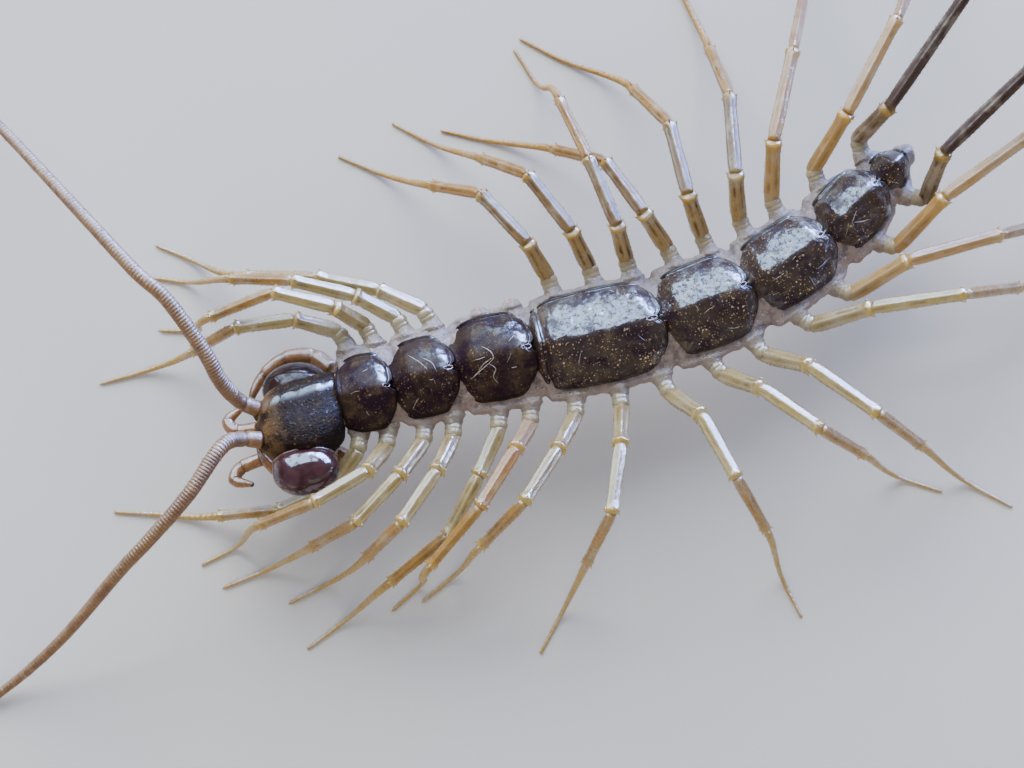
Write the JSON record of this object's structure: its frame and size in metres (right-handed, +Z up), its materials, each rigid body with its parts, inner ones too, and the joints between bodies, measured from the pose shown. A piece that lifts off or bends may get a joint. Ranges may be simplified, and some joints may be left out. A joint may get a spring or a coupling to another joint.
{
  "type": "house centipede model",
  "caption": "Still life-size model of a long-legged house centipede standing spread out, with long feelers and trailing last legs.",
  "frame": {"origin": "on the floor under the middle of the box round the whole model, feelers and last legs included", "axes": "+X towards the tail, so the head faces -X; +Y to the animal's right; +Z up from the floor it stands on"},
  "size_m": [0.0711, 0.0374, 0.0072],
  "materials": {
    "back_plates": "glossy dark brown shell with fine tan specks",
    "head_shell": "rough glossy olive brown shell",
    "eye": "polished purple brown",
    "pale_leg": "translucent pale yellow, glossy",
    "dark_leg": "satin dark brown",
    "amber_feeler": "satin amber tan",
    "poison_claw": "glossy amber"
  },
  "bodies": {
    "root": {"head": "head_shell", "eye_left": "eye", "eye_right": "eye", "antenna_left_1": "amber_feeler", "antenna_left_2": "amber_feeler", "antenna_left_3": "amber_feeler", "claw_left": "poison_claw", "palp_left": "amber_feeler", "antenna_right_1": "amber_feeler", "antenna_right_2": "amber_feeler", "antenna_right_3": "amber_feeler", "claw_right": "poison_claw", "palp_right": "amber_feeler", "trunk_1": "back_plates", "trunk_2": "back_plates", "trunk_3": "back_plates", "trunk_4": "back_plates", "trunk_5": "back_plates", "trunk_6": "back_plates", "trunk_7": "back_plates", "trunk_8": "back_plates", "leg_left_1": "pale_leg", "leg_left_2": "pale_leg", "leg_left_3": "pale_leg", "leg_left_4": "pale_leg", "leg_left_5": "pale_leg", "leg_left_6": "pale_leg", "leg_left_7": "pale_leg", "leg_left_8": "pale_leg", "leg_left_9": "pale_leg", "leg_left_10": "pale_leg", "leg_left_11": "pale_leg", "leg_left_12": "pale_leg", "leg_left_13": "pale_leg", "leg_left_14": "pale_leg", "leg_left_15": "dark_leg", "leg_right_1": "pale_leg", "leg_right_2": "pale_leg", "leg_right_3": "pale_leg", "leg_right_4": "pale_leg", "leg_right_7": "pale_leg", "leg_right_8": "pale_leg", "leg_right_9": "pale_leg", "leg_right_10": "pale_leg", "leg_right_11": "pale_leg", "leg_right_12": "pale_leg", "leg_right_13": "pale_leg", "leg_right_14": "pale_leg", "leg_right_15": "dark_leg"}
  },
  "joints": []
}
